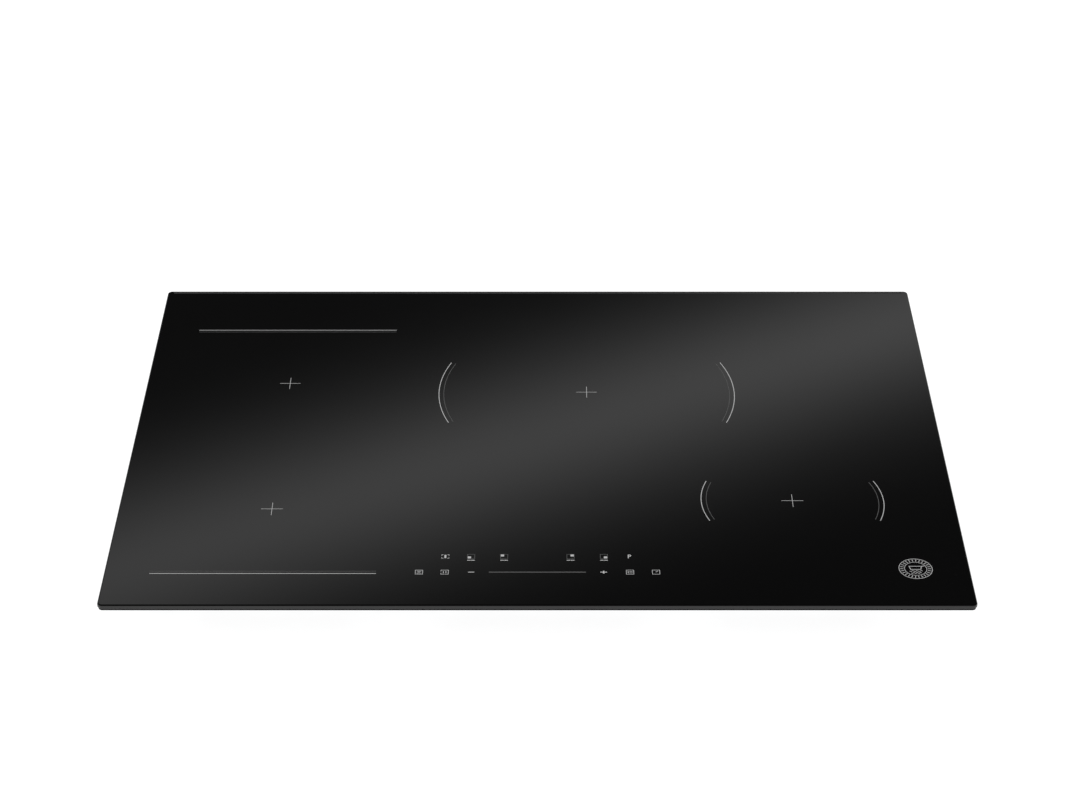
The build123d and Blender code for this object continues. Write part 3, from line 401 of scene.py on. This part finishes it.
def finishes():
    """One material for each slot of the record."""
    return {
        "black_glass": black_glass("black_glass"),
        "silicone": moulded("silicone", (0.03, 0.03, 0.03), 0.35, 200.0, 0.1),
        "seal_foam": foam("seal_foam", (0.008, 0.008, 0.0085)),
        "galvanised_steel": galvanised("galvanised_steel", (0.47, 0.48, 0.495)),
        "frame_steel": galvanised("frame_steel", (0.40, 0.41, 0.42)),
        "clamp_steel": drawn_metal("clamp_steel", (0.62, 0.60, 0.52), 0.32),
        "zinc_fasteners": drawn_metal("zinc_fasteners", (0.72, 0.73, 0.75), 0.24),
        "spring_steel": drawn_metal("spring_steel", (0.50, 0.50, 0.51), 0.22),
        "box_plastic": moulded("box_plastic", (0.035, 0.035, 0.038), 0.48),
        "cover_plastic": moulded("cover_plastic", (0.075, 0.075, 0.08), 0.46),
        "block_plastic": moulded("block_plastic", (0.72, 0.70, 0.64), 0.42),
        "link_brass": drawn_metal("link_brass", (0.72, 0.52, 0.22), 0.25),
        "tray_aluminium": drawn_metal("tray_aluminium", (0.77, 0.78, 0.79), 0.30, 200.0, (1.0, 10.0, 1.0)),
        "former_plastic": moulded("former_plastic", (0.42, 0.38, 0.30), 0.55, 300.0),
        "ferrite": flaked("ferrite", (0.06, 0.06, 0.065), 120.0),
        "litz_copper": litz("litz_copper", (0.62, 0.26, 0.13)),
        "mica_sheet": flaked("mica_sheet", (0.66, 0.60, 0.50)),
        "sensor_cap": moulded("sensor_cap", (0.80, 0.80, 0.78), 0.2, 300.0, 0.05),
        "wire_cover": moulded("wire_cover", (0.35, 0.03, 0.02), 0.4, 500.0, 0.1),
        "post_plastic": moulded("post_plastic", (0.78, 0.76, 0.70), 0.5),
        "circuit_board": circuit_board("circuit_board", (0.02, 0.16, 0.06)),
        "device_plastic": moulded("device_plastic", (0.02, 0.02, 0.02), 0.55),
        "capacitor_film": moulded("capacitor_film", (0.50, 0.38, 0.04), 0.25, 200.0, 0.05),
        "choke_winding": litz("choke_winding", (0.55, 0.22, 0.09)),
        "fan_plastic": moulded("fan_plastic", (0.025, 0.025, 0.028), 0.42),
        "holder_plastic": moulded("holder_plastic", (0.06, 0.06, 0.06), 0.5),
        "pad_foam": foam("pad_foam", (0.08, 0.08, 0.085)),
        "light_box": moulded("light_box", (0.84, 0.84, 0.82), 0.3, 300.0, 0.05),
        "ribbon_cover": moulded("ribbon_cover", (0.52, 0.53, 0.54), 0.4, 400.0, 0.05),
    }


def finish_frame(materials):
    """Gives every CAD node the finish of its slot."""
    for part in frame["record"]["subparts"]:
        node = frame["nodes"][part["node"]]
        material = materials[part["material_slot"]]
        if not node.material_slots:
            node.data.materials.append(material)
        for slot in node.material_slots:
            slot.material = material


# Springs and leads, copied as smooth pieces


def soft_copy(node, name):
    """A copy of a CAD piece with its loose triangles joined, smooth except at its corners."""
    mesh = frame["nodes"][node].data.copy()
    mesh.name = name
    shape = bmesh.new()
    shape.from_mesh(mesh)
    bmesh.ops.remove_doubles(shape, verts=shape.verts, dist=MERGE)
    shape.to_mesh(mesh)
    shape.free()
    mesh.shade_smooth()
    mesh.set_sharp_from_angle(angle=np.radians(CORNER))
    piece = bpy.data.objects.new(name, mesh)
    bpy.context.scene.collection.objects.link(piece)
    return piece


def let_give_way():
    """
    Each spring and lead between the casing and a floating coil tray becomes a soft piece: a smooth copy
    attached to the joint's parent body, with the CAD piece hidden. It is not shortened towards its fixed
    end.
    """
    for joint in frame["record"]["behaviour"]["joints"]:
        for soft in joint.get("deforming_nodes", []):
            node, fixed = soft["node"], soft["fixed_end_z_m"]
            piece = soft_copy(node, f"{node}_soft")
            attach(piece, joint["parent"])
            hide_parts(node)
            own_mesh(piece)


# Ink lines as closed meshes


def carry(path, width, closed=False):
    """
    A flat ink line: the four corners of a rectangle carried along a path on the glass.
    Corner k of section i is path[i] + side[k] * width / 2 * across[i], at the glass top plus
    level[k] * raise, where across is the mean of the two neighbouring normals, lengthened at a
    corner so that both straight edges keep their distance (a mitre).
    """
    path = np.asarray(path, float)
    ahead = np.roll(path, -1, axis=0) - path
    ahead /= np.linalg.norm(ahead, axis=1, keepdims=True)
    behind = np.roll(ahead, 1, axis=0)
    if not closed:
        ahead[-1] = behind[-1]
        behind[0] = ahead[0]
    left = np.stack([-ahead[:, 1], ahead[:, 0]], axis=1)
    left_behind = np.stack([-behind[:, 1], behind[:, 0]], axis=1)
    across = left + left_behind
    across /= np.linalg.norm(across, axis=1, keepdims=True)
    across /= np.sum(across * left, axis=1, keepdims=True)
    side = np.array([-1.0, 1.0, 1.0, -1.0])
    level = np.array([0.0, 0.0, 1.0, 1.0])
    flat = path[:, None, :] + side[None, :, None] * across[:, None, :] * width / 2
    height = np.broadcast_to(GLASS_TOP + level * INK_RAISE, (len(path), 4))
    points = np.concatenate([flat, height[:, :, None]], axis=2).reshape(-1, 3)
    count = len(path)
    first = np.arange(count if closed else count - 1)
    i, k = np.meshgrid(first, np.arange(4), indexing="ij")
    j, m = (i + 1) % count, (k + 1) % 4
    faces = np.stack([4 * i + k, 4 * i + m, 4 * j + m, 4 * j + k], axis=2).reshape(-1, 4)
    if not closed:
        caps = np.array([[3, 2, 1, 0], 4 * (count - 1) + np.arange(4)])
        faces = np.concatenate([faces, caps])
    return points, faces


def ink_piece(name, strokes, material):
    """One piece of print, or of the painted highlight, from several ink lines, each (path, width, closed).
    """
    points, faces, start = [], [], 0
    for path, width, closed in strokes:
        some_points, some_faces = carry(path, width, closed)
        points.append(some_points)
        faces.append(some_faces + start)
        start += len(some_points)
    mesh = bpy.data.meshes.new(name)
    mesh.from_pydata(np.concatenate(points).tolist(), [], np.concatenate(faces).tolist())
    mesh.materials.append(material)
    piece = bpy.data.objects.new(name, mesh)
    bpy.context.scene.collection.objects.link(piece)
    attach(piece, "hob")
    return piece


def line(start, end, width):
    """A straight stroke."""
    return [start, end], width, False


def dash(x, y, width, height):
    """A filled rectangle about (x, y)."""
    return line((x - width / 2, y), (x + width / 2, y), height)


def outline(x, y, width, height, stroke):
    """A rectangle's outline about (x, y)."""
    w, h = (width - stroke) / 2, (height - stroke) / 2
    corners = [(x - w, y - h), (x + w, y - h), (x + w, y + h), (x - w, y + h)]
    return corners, stroke, True


def arc(x, y, radius, middle, half, width):
    """A circle's stretch: (x + r cos a, y + r sin a) for angles a about the middle one."""
    angles = np.radians(np.linspace(middle - half, middle + half, CURVE_POINTS))
    path = np.stack([x + radius * np.cos(angles), y + radius * np.sin(angles)], axis=1)
    return path, width, False


def ring(x, y, radius, width):
    """A closed circle: (x + r cos a, y + r sin a)."""
    angles = np.linspace(0, 2 * np.pi, RING_POINTS, endpoint=False)
    path = np.stack([x + radius * np.cos(angles), y + radius * np.sin(angles)], axis=1)
    return path, width, True


def cross(x, y):
    """The arms that mark the middle of a zone. The upright is in two halves, so nothing overlaps."""
    gap = CROSS_LINE / 2
    return [
        line((x - CROSS_ARM, y), (x + CROSS_ARM, y), CROSS_LINE),
        line((x, y + gap), (x, y + CROSS_ARM), CROSS_LINE),
        line((x, y - CROSS_ARM), (x, y - gap), CROSS_LINE),
    ]


def middle_of(node):
    """The middle of a node seen from above, and half its width."""
    low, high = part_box(node)
    return (low.x + high.x) / 2, (low.y + high.y) / 2, (high.x - low.x) / 2


def print_round_zone(name, bright, dim):
    """A cross and, left and right, a bright arc on the zone's rim with a dim one inside it."""
    x, y, radius = middle_of(f"{name}_mica")
    strokes = cross(x, y)
    inner = []
    outer = radius - ARC_INSET
    for facing in (0, 180):
        strokes.append(arc(x, y, outer, facing, ARC_HALF_ANGLE, LINE))
        inner.append(arc(x, y, outer - INNER_ARC_STEP, facing, ARC_HALF_ANGLE, THIN_LINE))
    ink_piece(f"{name}_zone_marks", strokes, bright)
    ink_piece(f"{name}_zone_inner_marks", inner, dim)


def print_flex_zone(bright, dim):
    """Two lines across the ends of the flexible zone, each with a dim one inside, and two crosses."""
    low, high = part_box("flex_mica")
    sensor_low, sensor_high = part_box("flex_sensor")
    foot = (sensor_high.x - sensor_low.x) / 2
    x = (low.x + high.x) / 2
    strokes = cross(x, sensor_low.y + foot) + cross(x, sensor_high.y - foot)
    inner = []
    left, right = low.x + FLEX_INSET_X, high.x - FLEX_INSET_X
    for y, inwards in ((high.y - FLEX_REAR_INSET, -1), (low.y + FLEX_FRONT_INSET, 1)):
        strokes.append(line((left, y), (right, y), LINE))
        second = y + inwards * FLEX_SECOND_LINE
        inner.append(line((left, second), (right, second), THIN_LINE))
    ink_piece("flex_zone_marks", strokes, bright)
    ink_piece("flex_zone_inner_marks", inner, dim)


def paint_rear_highlight(faint):
    """Painted highlight: a lighter band along the rear edge, just inside its rounding, where the rounded
    edge's glint would be.
    """
    middle = (GLASS_LOW.x + GLASS_HIGH.x) / 2
    length = GLASS_HIGH.x - GLASS_LOW.x - 4 * HIGHLIGHT_INSET
    highlight_band = dash(middle, GLASS_HIGH.y - HIGHLIGHT_INSET, length, HIGHLIGHT_WIDTH)
    ink_piece("rear_border_line", [highlight_band], faint)


def key_frame(x, y):
    """The rectangle round a key of the front row."""
    return outline(x, y, KEY_W, KEY_D, KEY_LINE)


def selector(x, y, column, row):
    """A square with one filled quarter, and a bar in two parts beneath it."""
    quarter = 0.42 * KEY_W
    spread, drop, length = 0.26 * KEY_W, 0.82 * KEY_W, 0.46 * KEY_W
    filled = dash(x + column * quarter / 2, y + row * quarter / 2, quarter, quarter)
    halves = [dash(x + side * spread, y - drop, length, BAR_LINE) for side in (-1, 1)]
    return [filled, *halves], [outline(x, y, KEY_W, KEY_W, SELECTOR_LINE)]


def bridge_key(x, y):
    """Two zones joined: corner marks about an upright block."""
    w, h, tick, block = 0.46 * KEY_W, 0.42 * KEY_D, 1.5 * MM, 1.7 * MM
    strokes = [dash(x, y, block, 1.8 * h)]
    for side in (-1, 1):
        for end in (-1, 1):
            start = (x + side * (w - tick), y + end * h)
            corner = (x + side * w, y + end * h)
            stop = (x + side * w, y + end * (h - tick))
            strokes.append(([start, corner, stop], KEY_LINE, False))
    return strokes


def lock_key(x, y):
    """A frame with two triangles point to point."""
    w, h, gap, stroke = 0.26 * KEY_W, 0.24 * KEY_D, 0.5 * MM, 0.35 * MM
    upper = [(x + w, y + h), (x - w, y + h), (x, y + gap)]
    lower = [(x - w, y - h), (x + w, y - h), (x, y - gap)]
    return [key_frame(x, y), (upper, stroke, True), (lower, stroke, True)]


def pause_key(x, y):
    """A frame, broken at the left, round two upright bars."""
    w, h = (KEY_W - KEY_LINE) / 2, (KEY_D - KEY_LINE) / 2
    broken_at, bar_half, bar_x, bar_line = 0.35 * h, 0.5 * h, 1.1 * MM, 0.6 * MM
    upper = [(x - w, y + broken_at), (x - w, y + h), (x + w, y + h)]
    lower = [(x + w, y - h), (x - w, y - h), (x - w, y - broken_at)]
    bars = [line((x + dx, y - bar_half), (x + dx, y + bar_half), bar_line) for dx in (-bar_x, bar_x)]
    return [(upper + lower, KEY_LINE, False), *bars]


def timer_key(x, y):
    """A frame with a short upright at its left, and two level lines."""
    upright_x, upright_half, upright_line = x - 1.6 * MM, 1.5 * MM, 0.6 * MM
    level_x, level_length, level_line = x + 0.9 * MM, 2.9 * MM, 0.5 * MM
    over, under = y + 0.9 * MM, y - 1.1 * MM
    return [
        key_frame(x, y),
        line((upright_x, y - upright_half), (upright_x, y + upright_half), upright_line),
        dash(level_x, over, level_length, level_line),
        dash(level_x, under, level_length, level_line),
    ]


def power_key(x, y):
    """A frame with a stroke into its upper right corner, for on and off."""
    start = (x - 0.3 * MM, y + 0.1 * MM)
    end = (x + 1.7 * MM, y + 1.7 * MM)
    stroke = 0.55 * MM
    return [key_frame(x, y), line(start, end, stroke)]


def boost_key(x, y):
    """An upright with a loop at its top, for the highest power."""
    foot, head, stroke = y - 2.6 * MM, y + 2.7 * MM, 0.8 * MM
    back, near, far, out = x - 1.1 * MM, x - 0.7 * MM, x + 0.5 * MM, x + 1.1 * MM
    over, mid, low = y + 2.3 * MM, y + 1.3 * MM, y + 0.3 * MM
    loop = [(near, over), (far, over), (out, mid), (far, low), (near, low)]
    return [line((back, foot), (back, head), stroke), (loop, stroke, False)]


def plus_key(x, y):
    """A short cross in three strokes that don't overlap."""
    arm = (PLUS_D - PLUS_LINE) / 2
    middle = (PLUS_D - arm) / 2
    upright = [dash(x, y + side * middle, PLUS_UPRIGHT, arm) for side in (-1, 1)]
    return [dash(x, y, PLUS_W, PLUS_LINE), *upright]


def print_keys(bright, dim):
    """The touch keys, in two rows, and the slider between minus and plus."""
    front = GLASS_LOW.y + KEY_FRONT_ROW
    rear = GLASS_LOW.y + KEY_REAR_ROW
    strokes = bridge_key(BRIDGE_X, rear) + boost_key(BOOST_X, rear)
    strokes += lock_key(LOCK_X, front) + pause_key(PAUSE_X, front)
    strokes += timer_key(TIMER_X, front) + power_key(POWER_X, front)
    strokes += [dash(MINUS_X, front, MINUS_W, BAR_LINE), *plus_key(PLUS_X, front)]
    frames = [dash(0.0, front, 2 * SLIDER_HALF, SLIDER_LINE)]
    for x, column, row in SELECTORS:
        filled, frame_lines = selector(x, rear, column, row)
        strokes += filled
        frames += frame_lines
    ink_piece("key_symbols", strokes, bright)
    ink_piece("slider_and_key_frames", frames, dim)


def ripple(x, y, half, height, width):
    """A wavy line: y + height * sin(3 pi t) at x + half * t, for t from -1 to 1."""
    across = np.linspace(-1, 1, CURVE_POINTS)
    path = np.stack([x + half * across, y + height * np.sin(3 * np.pi * across)], axis=1)
    return path, width, False


def rays(x, y, near, far, count, width):
    """Short strokes that point at (x, y), evenly turned about it, from one radius to another."""
    strokes = []
    for turn in 2 * np.pi * np.arange(count) / count:
        c, s = np.cos(turn), np.sin(turn)
        strokes.append(line((x + near * c, y + near * s), (x + far * c, y + far * s), width))
    return strokes


def print_badge(bright):
    """A plain round mark: a pan on two ripples of heat inside a ring of short rays."""
    x = GLASS_HIGH.x - BADGE_INSET_X
    y = GLASS_LOW.y + BADGE_INSET_Y
    rim, foot, base, lip = 5.4 * MM, 4.4 * MM, y - 1.0 * MM, y + 3.6 * MM
    bowl = [(x - foot, base), (x + foot, base), (x + rim, lip), (x - rim, lip)]
    handle = [(x + rim + 0.4 * MM, lip), (x + rim + 2.6 * MM, lip + 0.5 * MM)]
    wave, wave_line = 0.7 * MM, 0.45 * MM
    strokes = [
        ring(x, y, BADGE_R, 0.5 * MM),
        ring(x, y, BADGE_INNER_R, 0.4 * MM),
        *rays(x, y, BADGE_INNER_R + RAY_GAP, BADGE_R - RAY_GAP, BADGE_RAYS, 0.6 * MM),
        (bowl, 0.6 * MM, True),
        line(*handle, 0.7 * MM),
        ripple(x, y - 3.4 * MM, foot + 1.2 * MM, wave, wave_line),
        ripple(x, y - 6.2 * MM, foot, wave, wave_line),
    ]
    ink_piece("round_badge", strokes, bright)


# Studio


def make_floor():
    """A plain pale floor, a hair below the casing, and clear from beneath, so that the base can be seen."""
    half, z = FLOOR_HALF, -FLOOR_GAP
    corners = [(-half, -half, z), (half, -half, z), (half, half, z), (-half, half, z)]
    mesh = bpy.data.meshes.new("floor")
    mesh.from_pydata(corners, [], [(0, 1, 2, 3)])
    floor = bpy.data.objects.new("floor", mesh)
    bpy.context.scene.collection.objects.link(floor)
    material = new_material("pale_floor")
    tree = material.node_tree
    colour = blend_colour(tree, noise(tree, 3.0), (0.26, 0.26, 0.26), (0.28, 0.28, 0.28))
    glow = {"Emission Color": (1, 1, 1, 1), "Emission Strength": FLOOR_GLOW}
    sockets = {"Base Color": colour, "Roughness": 0.9, "Specular IOR Level": 0.0, **glow}
    above = add_node(tree, "ShaderNodeBsdfPrincipled", None, sockets).first()
    beneath = add_node(tree, "ShaderNodeBsdfTransparent").first()
    from_beneath = add_node(tree, "ShaderNodeNewGeometry").out("Backfacing")
    both = add_node(tree, "ShaderNodeMixShader", None, {0: from_beneath, 1: above, 2: beneath}).first()
    add_node(tree, "ShaderNodeOutputMaterial", None, {"Surface": both})
    mesh.materials.append(material)


def make_studio():
    """
    Pale surroundings for light and for the background. What gloss sees is darker: a bright horizon
    that fades upwards, and one soft slanting strip overhead. A direction (x, y, z) meets a ceiling of
    height 1 at (x/z, y/z), and the strip's glow falls as exp(-t^p) with the distance t from its line.
    """
    world = bpy.data.worlds.new("studio")
    bpy.context.scene.world = world
    world.use_nodes = True
    tree = world.node_tree
    tree.nodes.clear()
    towards = add_node(tree, "ShaderNodeTexCoord").out("Generated")
    parts = add_node(tree, "ShaderNodeSeparateXYZ", None, {0: towards})
    up = parts.out("Z").maths("MAXIMUM", LEAST_UP)
    turn = np.radians(BAND_TURN)
    across = (parts.out("X") * float(np.cos(turn)) + parts.out("Y") * float(np.sin(turn))) / up
    distance = ((across - BAND_PLACE) / BAND_WIDTH).maths("ABSOLUTE")
    strip = BAND_GLOW * (0.0 - distance.maths("POWER", BAND_POWER)).maths("EXPONENT")
    horizon = HORIZON_GLOW * (1.0 - parts.out("Z").ramp(HORIZON_LOW, HORIZON_HIGH))
    seen_in_gloss = strip + horizon + DARK_GLOW
    glossy = add_node(tree, "ShaderNodeLightPath").out("Is Glossy Ray")
    strength = glossy * seen_in_gloss + (1.0 - glossy) * PALE
    sockets = {"Color": (1, 1, 1, 1), "Strength": strength}
    glow = add_node(tree, "ShaderNodeBackground", None, sockets).first()
    add_node(tree, "ShaderNodeOutputWorld", None, {"Surface": glow})


def area_lamp(name, at, power):
    """A large soft lamp turned to the origin. It lights matt surfaces and isn't mirrored in the glass."""
    data = bpy.data.lights.new(name, "AREA")
    data.shape = "SQUARE"
    data.size = LAMP_SIZE
    data.energy = power
    lamp = bpy.data.objects.new(name, data)
    lamp.location = at
    lamp.rotation_euler = (-Vector(at)).to_track_quat("-Z", "Y").to_euler()
    lamp.visible_glossy = False
    bpy.context.scene.collection.objects.link(lamp)


def make_camera():
    """A long lens in front of the hob and above it, looking down at the glass."""
    data = bpy.data.cameras.new("camera")
    data.lens = CAMERA_LENS
    data.sensor_width = SENSOR
    data.clip_end = CAMERA_REACH
    camera = bpy.data.objects.new("camera", data)
    camera.location = (CAMERA_OFF_X, -CAMERA_BACK, GLASS_TOP + CAMERA_OVER)
    camera.rotation_euler = (np.radians(90.0 - CAMERA_PITCH), 0.0, 0.0)
    bpy.context.scene.collection.objects.link(camera)
    bpy.context.scene.camera = camera


def main():
    finish_frame(finishes())
    let_give_way()
    bright = screen_ink("print_ink", (BRIGHT_INK,) * 3)
    dim = screen_ink("print_ink_dim", (DIM_INK,) * 3)
    # A lighter grey used as a painted highlight along the rear edge
    faint = screen_ink("print_ink_faint", (PAINTED_HIGHLIGHT_GREY,) * 3)
    print_flex_zone(bright, dim)
    print_round_zone("centre", bright, dim)
    print_round_zone("right", bright, dim)
    print_keys(bright, dim)
    print_badge(bright)
    # Painted highlight along the rear edge, standing in for the glint of its rounding
    paint_rear_highlight(faint)
    make_floor()
    make_studio()
    area_lamp("key_lamp", KEY_LAMP, KEY_POWER)
    area_lamp("fill_lamp", FILL_LAMP, FILL_POWER)
    make_camera()
    bpy.context.scene.view_settings.view_transform = "Standard"


main()
